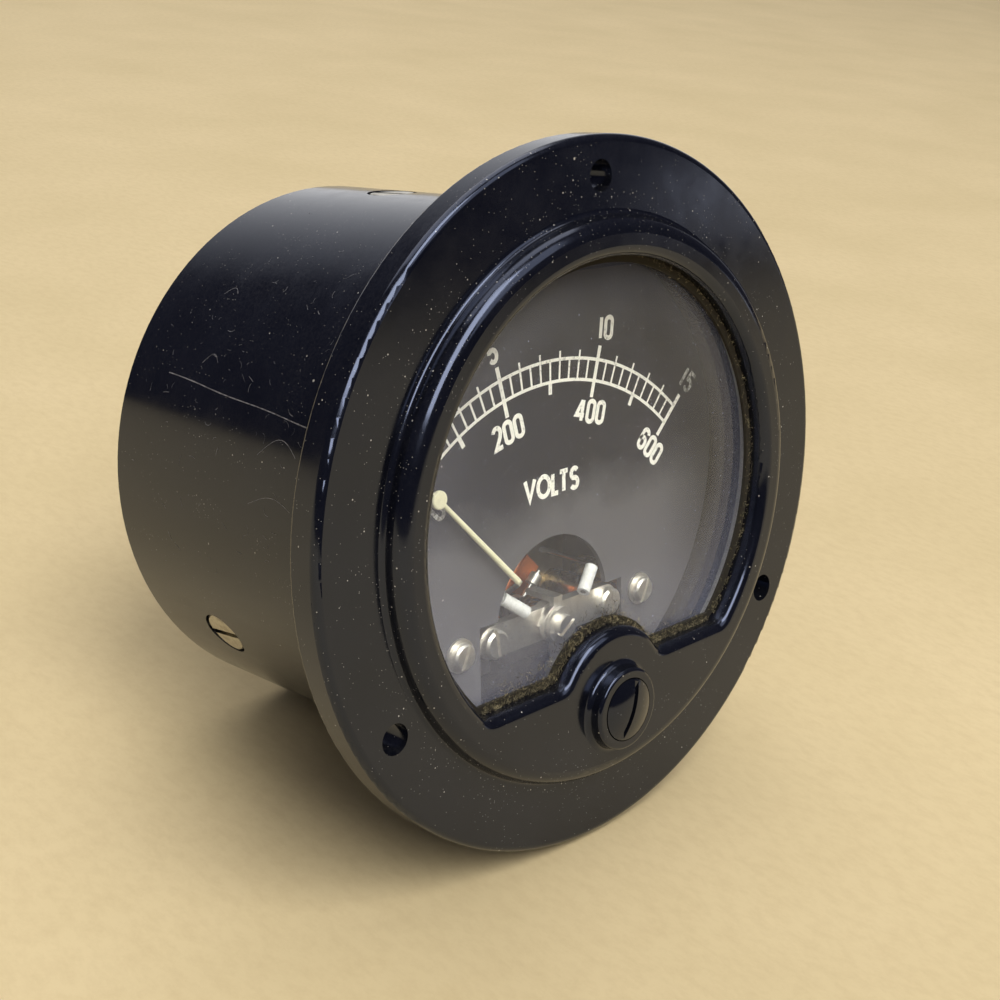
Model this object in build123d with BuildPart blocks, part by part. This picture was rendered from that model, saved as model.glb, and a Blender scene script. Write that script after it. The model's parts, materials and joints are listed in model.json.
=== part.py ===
"""A round flush-mounting panel voltmeter with a moving-coil galvanometer movement.

Frame: the origin is on the barrel's axis in the plane of the flange's back face, which seats
on the panel. The dial looks along -Y, +Z is twelve o'clock and +Y runs to the terminals.
Lengths are millimetres. Depths along Y are given as y_..., and radii as r_... or ..._r.
"""

import os
from math import cos, radians, sin

from build123d import *

os.makedirs("parts", exist_ok=True)


# ---------------------------------------------------------------- driving dimensions

# Case moulding
flange_r = 44.45
flange_thick = 4.4
barrel_r = 35.9
wall = 2.9
barrel_end = 47.4
ring_r = 35.2
y_ring = -7.2
y_seat = -4.6
bore_r = barrel_r - wall
hole_circle_r = 39.7
mounting_hole_r = 1.9

# Window, a circle cut by a chord, with a lobe round the zero adjuster
window_r = 30.5
chord_z = -21.0
lobe_r = 10.1

# Zero adjuster
adjuster_z = -25.9
collar_r = 5.3
y_collar = -9.2
adjuster_r = 4.0
adjuster_gap = 0.15
adjuster_depth = 1.5
shaft_r = 2.2
eccentric = 1.2
eccentric_pin_r = 0.6

# Glass stack
gasket_thick = 0.5
glass_thick = 1.6
glass_r = 32.6
glass_chord_z = -22.6

# Movement axis and dial
pivot_z = -17.5
y_dial = 4.4
dial_thick = 0.8
dial_r = 32.0
cutout_r = 10.2
cutout_z = -16.0
notch_half = 13.3
notch_top_z = -14.7
dial_screw_x = 16.8
dial_screw_z = -17.2

# Scale and pointer, angles from twelve o'clock
scale_half_angle = 44.0
pointer_r = 33.6
bulb_at_r = 29.3
y_needle = 3.4

# Magnet system
y_poles = 14.9
poles_deep = 13.0
pole_bore_r = 8.0
core_r = 6.2
pole_half_width = 13.0
magnet_half_width = 20.0
coil_half_width = 2.0

# Bridges
bridge_x = 10.7
y_front_bridge = 5.0
y_rear_bridge = 33.8
bridge_thick = 1.4

# Rear base and terminals
y_base_floor = 40.0
y_base_rim = 28.5
base_rim_r = 28.5
base_clearance = 0.2
side_screw_y = 32.6
terminal_x = 12.7
terminal_z = -6.0
stud_r = 2.4
stud_end = 66.0


# ---------------------------------------------------------------- helpers

pivot_axis = Axis((0, 0, pivot_z), (0, 1, 0))
y_poles_back = y_poles + poles_deep


def facing(y, z=0.0):
    """A plane at depth y seen from the front: local x is +X, local y is +Z."""
    return Plane(origin=(0, y, z), x_dir=(1, 0, 0), z_dir=(0, -1, 0))


def slotted_screw(head_r, head_thick, shank_r, shank_length, slot_angle=0.0):
    """A cheese-head screw: its head sits on the plane y=0 and its shank runs along +Y."""
    with BuildPart() as screw:
        with BuildSketch(facing(0)):
            Circle(head_r)
        extrude(amount=head_thick)
        chamfer(screw.faces().sort_by(Axis.Y)[0].edges(), head_thick * 0.25)
        with BuildSketch(facing(0)):
            Circle(shank_r)
        extrude(amount=-shank_length)
        with BuildSketch(facing(-head_thick)):
            Rectangle(head_r * 3, head_r * 0.28, rotation=90 - slot_angle)
        extrude(amount=-head_thick * 0.5, mode=Mode.SUBTRACT)
    return screw.part


def revolved(points, axis=Axis.Y, z=0.0):
    """A turned solid from (radius, y) points, about the Y axis or a line parallel to it."""
    with BuildPart() as turned:
        with BuildSketch(Plane.XY.offset(z)):
            with BuildLine():
                Polyline(*points, close=True)
            make_face()
        revolve(axis=axis)
    return turned.part


def polar(radius, clock_angle, centre_z=0.0):
    """The (x, z) place at a clock angle, measured from twelve o'clock towards +X."""
    angle = radians(clock_angle)
    return radius * sin(angle), centre_z + radius * cos(angle)


# ---------------------------------------------------------------- case moulding

lip_round = 1.3
with BuildPart() as case_front:
    with BuildSketch(Plane.XY) as profile:
        with BuildLine():
            Polyline(
                (0, y_ring), (ring_r, y_ring), (ring_r, -flange_thick),
                (flange_r, -flange_thick), (flange_r, 0), (barrel_r, 0),
                (barrel_r, barrel_end), (bore_r, barrel_end), (bore_r, y_seat), (0, y_seat),
                close=True,
            )
        make_face()
        for corner_r, corner_y, rounding in (
            (ring_r, y_ring, 2.0), (ring_r, -flange_thick, 0.7),
            (flange_r, -flange_thick, 0.9), (flange_r, 0, 0.4),
        ):
            corner = profile.vertices().sort_by_distance((corner_r, corner_y, 0))[0]
            fillet(corner, rounding)
    revolve(axis=Axis.Y)

    # raised collar round the adjuster
    with BuildSketch(facing(y_ring + 0.5, adjuster_z)):
        Circle(collar_r + 0.25)
    extrude(amount=y_ring + 0.5 - y_collar, taper=5)
    collar_top = case_front.edges().group_by(Axis.Y)[0].filter_by(GeomType.CIRCLE)
    fillet(collar_top, 0.5)
    collar_foot = (
        case_front.edges()
        .filter_by(GeomType.CIRCLE)
        .filter_by(lambda e: abs(e.center().Y - y_ring) < 0.01 and 4.5 < e.radius < 6.5)
    )
    fillet(collar_foot, 0.8)

    # window
    with BuildSketch(facing(y_ring)) as window:
        Circle(window_r)
        with Locations((0, chord_z - window_r)):
            Rectangle(window_r * 2, window_r * 2, mode=Mode.SUBTRACT)
        with Locations((0, adjuster_z)):
            Circle(lobe_r, mode=Mode.SUBTRACT)
        outer_corners = window.vertices().filter_by(lambda v: abs(v.X) > 15)
        fillet(outer_corners, 2.4)
        lobe_corners = window.vertices().filter_by(lambda v: 5 < abs(v.X) < 12)
        fillet(lobe_corners, 2.0)
    extrude(amount=y_ring - y_seat, mode=Mode.SUBTRACT)
    lip = (
        case_front.edges()
        .filter_by(lambda e: abs(e.center().Y - y_ring) < 0.01)
        .filter_by(lambda e: (e @ 0.5 - Vector(0, y_ring, 0)).length < window_r + 0.5)
        .filter_by(lambda e: (e @ 0.5 - Vector(0, y_ring, adjuster_z)).length > 8)
    )
    fillet(lip, lip_round)

    # adjuster seat and shaft hole
    with BuildSketch(facing(y_collar, adjuster_z)):
        Circle(adjuster_r + adjuster_gap)
    extrude(amount=-(adjuster_depth + 0.1), mode=Mode.SUBTRACT)
    with BuildSketch(facing(y_collar, adjuster_z)):
        Circle(shaft_r + 0.05)
    extrude(amount=y_collar - y_seat, mode=Mode.SUBTRACT)

    # three mounting holes
    with BuildSketch(facing(-flange_thick)):
        with PolarLocations(hole_circle_r, 3, start_angle=90):
            Circle(mounting_hole_r)
    extrude(amount=-flange_thick, mode=Mode.SUBTRACT)

    # three countersunk side holes for the screws that hold the rear base
    for clock_angle in (0, 120, 240):
        x, z = polar(1, clock_angle)
        side = Plane(origin=(x * barrel_r, side_screw_y, z * barrel_r), x_dir=(0, 1, 0), z_dir=(x, 0, z))
        with BuildSketch(side.offset(-barrel_r + bore_r - 1)):
            Circle(2.1)
        extrude(amount=wall + 2, mode=Mode.SUBTRACT)
        with BuildSketch(side.offset(-1.6)):
            Circle(3.3)
        extrude(amount=3, mode=Mode.SUBTRACT)
case_front.part.label = "case_front"
export_step(case_front.part, "parts/case_front.step")


# ---------------------------------------------------------------- glass, gasket and spring ring

y_gasket = y_seat
y_glass = y_gasket + gasket_thick
y_spring_ring = y_glass + glass_thick
spring_ring_r = bore_r - 0.12
spring_ring_wide = 1.7
spring_ring_thick = 1.0

with BuildPart() as window_gasket:
    with BuildSketch(facing(y_gasket)):
        Circle(glass_r)
        with Locations((0, glass_chord_z - glass_r)):
            Rectangle(glass_r * 2, glass_r * 2, mode=Mode.SUBTRACT)
        with BuildSketch(mode=Mode.SUBTRACT):
            Circle(window_r - 0.9)
            with Locations((0, chord_z + 0.9 - window_r)):
                Rectangle(window_r * 2, window_r * 2, mode=Mode.SUBTRACT)
            with Locations((0, adjuster_z)):
                Circle(lobe_r + 0.9, mode=Mode.SUBTRACT)
    extrude(amount=-gasket_thick)
window_gasket.part.label = "window_gasket"
export_step(window_gasket.part, "parts/window_gasket.step")

with BuildPart() as window_glass:
    with BuildSketch(facing(y_glass)):
        Circle(glass_r)
        with Locations((0, glass_chord_z - glass_r)):
            Rectangle(glass_r * 2, glass_r * 2, mode=Mode.SUBTRACT)
    extrude(amount=-glass_thick)
window_glass.part.label = "window_glass"
export_step(window_glass.part, "parts/window_glass.step")

with BuildPart() as glass_spring_ring:
    with BuildSketch(facing(y_spring_ring)):
        Circle(spring_ring_r)
        Circle(spring_ring_r - spring_ring_wide, mode=Mode.SUBTRACT)
        with Locations((0, glass_chord_z - bore_r)):
            Rectangle(bore_r * 2, bore_r * 2, mode=Mode.SUBTRACT)
    extrude(amount=-spring_ring_thick)
glass_spring_ring.part.label = "glass_spring_ring"
export_step(glass_spring_ring.part, "parts/glass_spring_ring.step")


# ---------------------------------------------------------------- zero adjuster and its lever

adjuster_axis = Axis((0, 0, adjuster_z), (0, 1, 0))
dome_height = 0.8
y_dome_edge = y_collar - 0.05
y_disc_back = y_dome_edge + adjuster_depth
y_clip = y_seat + 0.1
clip_thick = 0.4
clip_r = 3.0
clip_gap = 2.0
y_shaft_end = y_clip + clip_thick + 0.6
groove_r = shaft_r - 0.4
y_lever = 3.6
lever_thick = 0.8

with BuildPart() as zero_adjuster:
    with BuildSketch(Plane.XY.offset(adjuster_z)):
        with BuildLine():
            SagittaArc((adjuster_r, y_dome_edge), (-adjuster_r, y_dome_edge), dome_height)
            Line((-adjuster_r, y_dome_edge), (adjuster_r, y_dome_edge))
        make_face()
        with Locations((0, 0)):
            Rectangle(adjuster_r * 4, 60, align=(Align.MAX, Align.CENTER), mode=Mode.SUBTRACT)
    revolve(axis=adjuster_axis)
    with BuildSketch(facing(y_dome_edge, adjuster_z)):
        Circle(adjuster_r)
    extrude(amount=-adjuster_depth)
    with BuildSketch(facing(y_disc_back, adjuster_z)):
        Circle(shaft_r)
    extrude(amount=y_disc_back - y_shaft_end)
    with BuildSketch(facing(y_clip - 0.05, adjuster_z)):
        Circle(shaft_r + 1)
        Circle(groove_r, mode=Mode.SUBTRACT)
    extrude(amount=-(clip_thick + 0.1), mode=Mode.SUBTRACT)
    with BuildSketch(facing(y_shaft_end, adjuster_z)):
        with Locations((0, eccentric)):
            Circle(eccentric_pin_r)
    extrude(amount=y_shaft_end - (y_lever + lever_thick + 0.4))
    with BuildSketch(facing(y_dome_edge - 0.1, adjuster_z)):
        Rectangle(0.75, adjuster_r * 3, rotation=-22)
    extrude(amount=3, mode=Mode.SUBTRACT)
zero_adjuster.part.label = "zero_adjuster"
export_step(zero_adjuster.part, "parts/zero_adjuster.step")

with BuildPart() as adjuster_clip:
    with BuildSketch(facing(y_clip, adjuster_z)):
        Circle(clip_r)
        Circle(groove_r, mode=Mode.SUBTRACT)
        Rectangle(clip_gap, clip_r + 1, align=(Align.CENTER, Align.MAX), mode=Mode.SUBTRACT)
    extrude(amount=-clip_thick)
adjuster_clip.part.label = "adjuster_clip"
export_step(adjuster_clip.part, "parts/adjuster_clip.step")

jewel_screw_r = 1.5
lug_r = 3.0
lug_thick = 0.8
y_hairspring = 8.0
hairspring_wide = 0.6
fork_slot = 2 * (eccentric_pin_r + 0.08)
fork_foot = adjuster_z - pivot_z - 0.2

with BuildPart() as zero_lever:
    with BuildSketch(facing(y_lever, pivot_z)):
        Circle(2.7)
        Rectangle(1.8, 5.4, align=(Align.CENTER, Align.MAX))
        with Locations((0, fork_foot)):
            Rectangle(fork_slot + 1.8, 3.6, align=(Align.CENTER, Align.MIN))
        Rectangle(1.6, lug_r + lug_thick, align=(Align.CENTER, Align.MIN))
        with Locations((0, fork_foot)):
            Rectangle(fork_slot, 2.9, align=(Align.CENTER, Align.MIN), mode=Mode.SUBTRACT)
        Circle(jewel_screw_r + 0.05, mode=Mode.SUBTRACT)
    extrude(amount=-lever_thick)
    with BuildSketch(facing(y_lever, pivot_z)):
        with Locations((0, lug_r)):
            Rectangle(1.6, lug_thick, align=(Align.CENTER, Align.MIN))
    extrude(amount=y_lever - (y_hairspring + hairspring_wide))
zero_lever.part.label = "zero_lever"
export_step(zero_lever.part, "parts/zero_lever.step")


# ---------------------------------------------------------------- dial

dial_hole_r = 1.0
with BuildPart() as dial_plate:
    with BuildSketch(facing(y_dial)):
        Circle(dial_r)
        with Locations((0, cutout_z)):
            Circle(cutout_r, mode=Mode.SUBTRACT)
        with Locations((0, notch_top_z)):
            Rectangle(notch_half * 2, dial_r, align=(Align.CENTER, Align.MAX), mode=Mode.SUBTRACT)
        with Locations((dial_screw_x, dial_screw_z), (-dial_screw_x, dial_screw_z)):
            Circle(dial_hole_r, mode=Mode.SUBTRACT)
    extrude(amount=-dial_thick)
dial_plate.part.label = "dial_plate"
export_step(dial_plate.part, "parts/dial_plate.step")

y_dial_back = y_dial + dial_thick
with BuildPart() as dial_posts:
    with BuildSketch(facing(y_dial_back)):
        with Locations((dial_screw_x, dial_screw_z), (-dial_screw_x, dial_screw_z)):
            Circle(2.4)
            Circle(dial_hole_r, mode=Mode.SUBTRACT)
    extrude(amount=y_dial_back - y_poles)
dial_posts.part.label = "dial_posts"
export_step(dial_posts.part, "parts/dial_posts.step")

washer_thick = 0.3
with BuildPart() as dial_washers:
    with BuildSketch(facing(y_dial - washer_thick)):
        with Locations((dial_screw_x, dial_screw_z), (-dial_screw_x, dial_screw_z)):
            Circle(2.2)
            Circle(dial_hole_r, mode=Mode.SUBTRACT)
    extrude(amount=-washer_thick)
dial_washers.part.label = "dial_washers"
export_step(dial_washers.part, "parts/dial_washers.step")

small_screw_head = 1.0
dial_screw = slotted_screw(1.7, small_screw_head, dial_hole_r, 6.0, 25)
with BuildPart() as dial_screws:
    with Locations(
        (dial_screw_x, y_dial - washer_thick, dial_screw_z),
        (-dial_screw_x, y_dial - washer_thick, dial_screw_z),
    ):
        add(dial_screw)
dial_screws.part.label = "dial_screws"
export_step(dial_screws.part, "parts/dial_screws.step")


# ---------------------------------------------------------------- magnet, poles and core

with BuildPart() as magnet:
    arch_z = 4.0
    leg_foot = -24.0
    with BuildSketch(facing(y_poles)):
        with Locations((0, arch_z)):
            Circle(magnet_half_width)
            Rectangle(magnet_half_width * 2, arch_z - leg_foot, align=(Align.CENTER, Align.MAX))
            Circle(pole_half_width, mode=Mode.SUBTRACT)
            Rectangle(
                pole_half_width * 2, arch_z - leg_foot, align=(Align.CENTER, Align.MAX), mode=Mode.SUBTRACT
            )
    extrude(amount=-poles_deep)
magnet.part.label = "magnet"
export_step(magnet.part, "parts/magnet.step")

pole_half_height = 9.5
pole_gap = 3.0
for side, name in ((-1, "pole_piece_left"), (1, "pole_piece_right")):
    with BuildPart() as pole_piece:
        with BuildSketch(facing(y_poles, pivot_z)):
            with Locations((side * (pole_half_width + pole_gap / 2) / 2, 0)):
                Rectangle(pole_half_width - pole_gap / 2, pole_half_height * 2)
            Circle(pole_bore_r, mode=Mode.SUBTRACT)
        extrude(amount=-poles_deep)
    pole_piece.part.label = name
    export_step(pole_piece.part, f"parts/{name}.step")

with BuildPart() as iron_core:
    with BuildSketch(facing(y_poles + 0.2, pivot_z)):
        Circle(core_r)
    extrude(amount=-(poles_deep - 0.4))
    chamfer(iron_core.edges().filter_by(GeomType.CIRCLE), 0.4)
iron_core.part.label = "iron_core"
export_step(iron_core.part, "parts/iron_core.step")

with BuildPart() as core_supports:
    with BuildSketch(facing(y_poles + 4, pivot_z)):
        Rectangle(pole_gap, pole_half_height * 2)
        Circle(core_r, mode=Mode.SUBTRACT)
    extrude(amount=-(poles_deep - 8))
core_supports.part.label = "core_supports"
export_step(core_supports.part, "parts/core_supports.step")


# ---------------------------------------------------------------- moving coil and staffs

rest_angle = -scale_half_angle
coil_angle = rest_angle + 90
radial_x, radial_z = polar(1, coil_angle)
coil_plane = Plane(
    origin=(0, 0, pivot_z), x_dir=(radial_x, 0, radial_z), z_dir=(-radial_z, 0, radial_x)
)
former_r = 6.6
former_thick = 0.25
winding_thick = 0.5
coil_end_gap = 1.0
y_coil_mid = y_poles + poles_deep / 2


def coil_frame(inner_r, thick, half_width):
    """A rectangular frame that loops round the core, in the plane of the coil."""
    inner_half = poles_deep / 2 + coil_end_gap + inner_r - former_r
    with BuildPart() as frame:
        with BuildSketch(coil_plane):
            with Locations((0, y_coil_mid)):
                Rectangle((inner_r + thick) * 2, (inner_half + thick) * 2)
                Rectangle(inner_r * 2, inner_half * 2, mode=Mode.SUBTRACT)
        extrude(amount=half_width, both=True)
    return frame.part


coil_former = coil_frame(former_r, former_thick, coil_half_width - 0.1)
coil_former.label = "coil_former"
export_step(coil_former, "parts/coil_former.step")

winding_r = former_r + former_thick
coil_winding = coil_frame(winding_r, winding_thick, coil_half_width - 0.4)
coil_winding.label = "coil_winding"
export_step(coil_winding, "parts/coil_winding.step")

coil_half_length = poles_deep / 2 + coil_end_gap + former_thick + winding_thick
y_coil_front = y_coil_mid - coil_half_length
y_coil_rear = y_coil_mid + coil_half_length
pivot_r = 0.4
collet_r = 0.9
hub_r = 1.1
y_hub = y_coil_front - 2.9
y_front_tip = y_front_bridge + bridge_thick + 0.2

front_staff = revolved(
    [
        (0, y_front_tip), (pivot_r, y_front_tip + 0.4), (pivot_r, y_hairspring - 0.4),
        (collet_r, y_hairspring - 0.4), (collet_r, y_hairspring + 0.9), (0.6, y_hairspring + 0.9),
        (0.6, y_hub), (hub_r, y_hub), (hub_r, y_hub + 1.6), (0.6, y_hub + 1.6),
        (0.6, y_coil_front - 0.6), (2.0, y_coil_front - 0.6), (2.0, y_coil_front), (0, y_coil_front),
    ],
    axis=pivot_axis,
    z=pivot_z,
)
front_staff.label = "front_staff"
export_step(front_staff, "parts/front_staff.step")

y_rear_hairspring = y_rear_bridge - 2.3
y_rear_tip = y_rear_bridge - 0.4
rear_staff = revolved(
    [
        (0, y_coil_rear), (2.0, y_coil_rear), (2.0, y_coil_rear + 0.6), (0.6, y_coil_rear + 0.6),
        (0.6, y_rear_hairspring - 0.3), (collet_r, y_rear_hairspring - 0.3),
        (collet_r, y_rear_hairspring + 0.9), (pivot_r, y_rear_hairspring + 0.9),
        (pivot_r, y_rear_tip - 0.4), (0, y_rear_tip),
    ],
    axis=pivot_axis,
    z=pivot_z,
)
rear_staff.label = "rear_staff"
export_step(rear_staff, "parts/rear_staff.step")


# ---------------------------------------------------------------- hairsprings

def hairspring(y, end_angle, turns=3.5):
    """A flat spiral strip from the collet out to an anchor at a clock angle."""
    strip = 0.12
    inner_r = collet_r + strip / 2
    outer_r = lug_r - strip / 2 - 0.03
    steps = 12 * 7
    edges = []
    for offset in (-strip / 2, strip / 2):
        points = []
        for step in range(steps + 1):
            part_way = step / steps
            angle = end_angle - 360 * turns * (1 - part_way)
            points.append(polar(inner_r + (outer_r - inner_r) * part_way + offset, angle))
        edges.append(points)
    with BuildPart() as spring:
        with BuildSketch(facing(y, pivot_z)):
            with BuildLine():
                inner = Spline(*edges[0])
                outer = Spline(*edges[1])
                Line(inner @ 0, outer @ 0)
                Line(inner @ 1, outer @ 1)
            make_face()
        extrude(amount=-hairspring_wide)
    return spring.part


front_hairspring = hairspring(y_hairspring, 0)
front_hairspring.label = "front_hairspring"
export_step(front_hairspring, "parts/front_hairspring.step")

rear_hairspring = hairspring(y_rear_hairspring, 0)
rear_hairspring.label = "rear_hairspring"
export_step(rear_hairspring, "parts/rear_hairspring.step")


# ---------------------------------------------------------------- pointer and balance

pointer_x, pointer_z = polar(1, rest_angle)
pointer_side = Plane(
    origin=(0, 0, pivot_z), x_dir=(pointer_x, 0, pointer_z), z_dir=(-pointer_z, 0, pointer_x)
)
crank_start = 4.2
crank_end = 10.5
needle_start = 10.8
hub_thick = 0.6
hub_outer_r = 2.0

with BuildPart() as pointer_arm:
    with BuildSketch(facing(y_hub, pivot_z)):
        Circle(hub_outer_r)
        Circle(hub_r, mode=Mode.SUBTRACT)
    extrude(amount=-hub_thick)
    with BuildSketch(pointer_side):
        with BuildLine():
            Polyline(
                (hub_outer_r - 0.3, y_hub + 0.1), (crank_start - 0.2, y_hub + 0.1),
                (crank_end - 0.3, y_needle - 0.2), (needle_start, y_needle - 0.2),
                (needle_start, y_needle + 0.2), (crank_end, y_needle + 0.2),
                (crank_start + 0.1, y_hub + 0.5), (hub_outer_r - 0.3, y_hub + 0.5),
                close=True,
            )
        make_face()
    extrude(amount=0.35, both=True)
pointer_arm.part.label = "pointer_arm"
export_step(pointer_arm.part, "parts/pointer_arm.step")

needle_root_r = 0.42
needle_neck_r = 0.3
bulb_r = 1.15
bulb_thick = 0.68
with BuildPart() as pointer_needle:
    with BuildSketch(pointer_side):
        with BuildLine():
            Polyline(
                (needle_start, y_needle), (needle_start, y_needle + needle_root_r),
                (bulb_at_r, y_needle + needle_neck_r), (bulb_at_r, y_needle),
                close=True,
            )
        make_face()
    revolve(axis=Axis((0, y_needle, pivot_z), (pointer_x, 0, pointer_z)))
    bulb_x, bulb_z = polar(bulb_at_r, rest_angle, pivot_z)
    bulb_front = (bulb_x, y_needle - bulb_thick / 2, bulb_z)
    with BuildSketch(Plane(origin=bulb_front, z_dir=(0, -1, 0))):
        Circle(bulb_r)
    extrude(amount=-bulb_thick)
    rims = pointer_needle.edges().filter_by(GeomType.CIRCLE).filter_by(lambda e: e.radius > 1)
    fillet(rims, 0.25)
    with BuildSketch(pointer_side):
        with BuildLine():
            Polyline(
                (bulb_at_r + 0.5, y_needle - 0.2), (pointer_r, y_needle - 0.12),
                (pointer_r, y_needle + 0.12), (bulb_at_r + 0.5, y_needle + 0.2),
                close=True,
            )
        make_face()
    extrude(amount=0.12, both=True)
pointer_needle.part.label = "pointer_needle"
export_step(pointer_needle.part, "parts/pointer_needle.step")

y_balance = y_hub + hub_thick + 0.1
balance_thick = 0.7
balance_reach = 6.2
balance_rod_r = 0.3
y_rods = y_balance + balance_thick / 2
balance_angles = (rest_angle + 90, rest_angle + 180, rest_angle + 270)


def along_rod(clock_angle, radius):
    """The plane square to a balance rod, at a radius from the pivot."""
    x, z = polar(1, clock_angle)
    return Plane(origin=(x * radius, y_rods, pivot_z + z * radius), z_dir=(x, 0, z))


with BuildPart() as balance_cross:
    with BuildSketch(facing(y_balance, pivot_z)):
        Circle(hub_outer_r)
        Circle(hub_r, mode=Mode.SUBTRACT)
    extrude(amount=-balance_thick)
    for clock_angle in balance_angles:
        with BuildSketch(along_rod(clock_angle, hub_outer_r - 0.3)):
            Circle(balance_rod_r)
        extrude(amount=balance_reach - hub_outer_r + 0.3)
balance_cross.part.label = "balance_cross"
export_step(balance_cross.part, "parts/balance_cross.step")

with BuildPart() as balance_weights:
    for clock_angle in balance_angles:
        with BuildSketch(along_rod(clock_angle, 4.1)):
            Circle(0.85)
            Circle(balance_rod_r, mode=Mode.SUBTRACT)
        extrude(amount=1.5)
balance_weights.part.label = "balance_weights"
export_step(balance_weights.part, "parts/balance_weights.step")


# ---------------------------------------------------------------- bridges, jewels and stops

bridge_wide = 4.4
bridge_boss_r = 2.6


def bridge(y):
    """A strip across the movement with a round boss for the jewel screw."""
    with BuildPart() as strip:
        with BuildSketch(facing(y, pivot_z)):
            SlotCenterToCenter(bridge_x * 2, bridge_wide)
            Circle(bridge_boss_r)
            Circle(jewel_screw_r, mode=Mode.SUBTRACT)
            with Locations((bridge_x, 0), (-bridge_x, 0)):
                Circle(dial_hole_r, mode=Mode.SUBTRACT)
        extrude(amount=-bridge_thick)
    return strip.part


front_bridge = bridge(y_front_bridge)
front_bridge.label = "front_bridge"
export_step(front_bridge, "parts/front_bridge.step")

with BuildPart() as rear_bridge:
    add(bridge(y_rear_bridge))
    with BuildSketch(facing(y_rear_hairspring, pivot_z)):
        with Locations((0, lug_r)):
            Rectangle(1.6, lug_thick, align=(Align.CENTER, Align.MIN))
    extrude(amount=y_rear_hairspring - (y_rear_bridge + bridge_thick))
    with BuildSketch(facing(y_rear_bridge, pivot_z)):
        with Locations((0, 2)):
            Rectangle(1.6, lug_r + lug_thick - 2, align=(Align.CENTER, Align.MIN))
    extrude(amount=-bridge_thick)
rear_bridge.part.label = "rear_bridge"
export_step(rear_bridge.part, "parts/rear_bridge.step")

frame_thick = 2.0
y_frame = y_poles_back
y_frame_back = y_frame + frame_thick
bridge_post_r = 2.3
with BuildPart() as bridge_posts:
    for y_from, y_to in ((y_front_bridge + bridge_thick, y_poles), (y_frame_back, y_rear_bridge)):
        with BuildSketch(facing(y_from, pivot_z)):
            with Locations((bridge_x, 0), (-bridge_x, 0)):
                Circle(bridge_post_r)
                Circle(dial_hole_r, mode=Mode.SUBTRACT)
        extrude(amount=y_from - y_to)
bridge_posts.part.label = "bridge_posts"
export_step(bridge_posts.part, "parts/bridge_posts.step")

bridge_head_r = 1.9
bridge_head_thick = 1.3
front_bridge_screw = slotted_screw(bridge_head_r, bridge_head_thick, dial_hole_r, 6.0, -8)
rear_bridge_screw = slotted_screw(bridge_head_r, bridge_head_thick, dial_hole_r, 4.5)
rear_bridge_screw = rear_bridge_screw.rotate(Axis.X, 180)
with BuildPart() as bridge_screws:
    with Locations((bridge_x, y_front_bridge, pivot_z), (-bridge_x, y_front_bridge, pivot_z)):
        add(front_bridge_screw)
    y_rear_face = y_rear_bridge + bridge_thick
    with Locations((bridge_x, y_rear_face, pivot_z), (-bridge_x, y_rear_face, pivot_z)):
        add(rear_bridge_screw)
bridge_screws.part.label = "bridge_screws"
export_step(bridge_screws.part, "parts/bridge_screws.step")

jewel_r = 0.9
jewel_deep = 0.8
jewel_screw_back = y_front_bridge + bridge_thick + 0.8
y_jewel_screw = 1.9
with BuildPart() as front_jewel_screw:
    with BuildSketch(facing(y_jewel_screw, pivot_z)):
        Circle(jewel_screw_r)
    extrude(amount=y_jewel_screw - jewel_screw_back)
    with BuildSketch(facing(jewel_screw_back - jewel_deep, pivot_z)):
        Circle(jewel_r)
    extrude(amount=-jewel_deep, mode=Mode.SUBTRACT)
    with BuildSketch(facing(y_jewel_screw, pivot_z)):
        Rectangle(jewel_screw_r * 3, 0.5, rotation=35)
    extrude(amount=-0.6, mode=Mode.SUBTRACT)
front_jewel_screw.part.label = "front_jewel_screw"
export_step(front_jewel_screw.part, "parts/front_jewel_screw.step")

y_rear_screw = y_rear_bridge - 1.0
with BuildPart() as rear_jewel_screw:
    with BuildSketch(facing(y_rear_screw, pivot_z)):
        Circle(jewel_screw_r)
    extrude(amount=-5.5)
    with BuildSketch(facing(y_rear_screw, pivot_z)):
        Circle(jewel_r)
    extrude(amount=-jewel_deep, mode=Mode.SUBTRACT)
    with BuildSketch(facing(y_rear_screw + 5.5, pivot_z)):
        Rectangle(jewel_screw_r * 3, 0.5)
    extrude(amount=0.6, mode=Mode.SUBTRACT)
rear_jewel_screw.part.label = "rear_jewel_screw"
export_step(rear_jewel_screw.part, "parts/rear_jewel_screw.step")

# each jewel is a stone with a blind cup that the pivot's tip runs in
cup_r = pivot_r + 0.05
with BuildPart() as jewels:
    for y_open, y_back in (
        (jewel_screw_back, jewel_screw_back - jewel_deep),
        (y_rear_screw, y_rear_screw + jewel_deep),
    ):
        inward = 1 if y_back > y_open else -1
        y_front = min(y_open, y_back)
        with BuildSketch(facing(y_front, pivot_z)):
            Circle(jewel_r)
        extrude(amount=-jewel_deep)
        with BuildSketch(facing(y_open, pivot_z)):
            Circle(cup_r)
        extrude(amount=-inward * 0.7, mode=Mode.SUBTRACT)
jewels.part.label = "jewels"
export_step(jewels.part, "parts/jewels.step")

locknut_thick = 0.5
with BuildPart() as jewel_locknuts:
    for y in (y_front_bridge - locknut_thick, y_rear_bridge + bridge_thick):
        with BuildSketch(facing(y, pivot_z)):
            RegularPolygon(2.5, 6)
            Circle(jewel_screw_r, mode=Mode.SUBTRACT)
        extrude(amount=-locknut_thick)
jewel_locknuts.part.label = "jewel_locknuts"
export_step(jewel_locknuts.part, "parts/jewel_locknuts.step")

with BuildPart() as lever_collar:
    with BuildSketch(facing(y_lever - 0.7, pivot_z)):
        Circle(2.4)
        Circle(jewel_screw_r, mode=Mode.SUBTRACT)
    extrude(amount=-0.6)
lever_collar.part.label = "lever_collar"
export_step(lever_collar.part, "parts/lever_collar.step")

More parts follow.
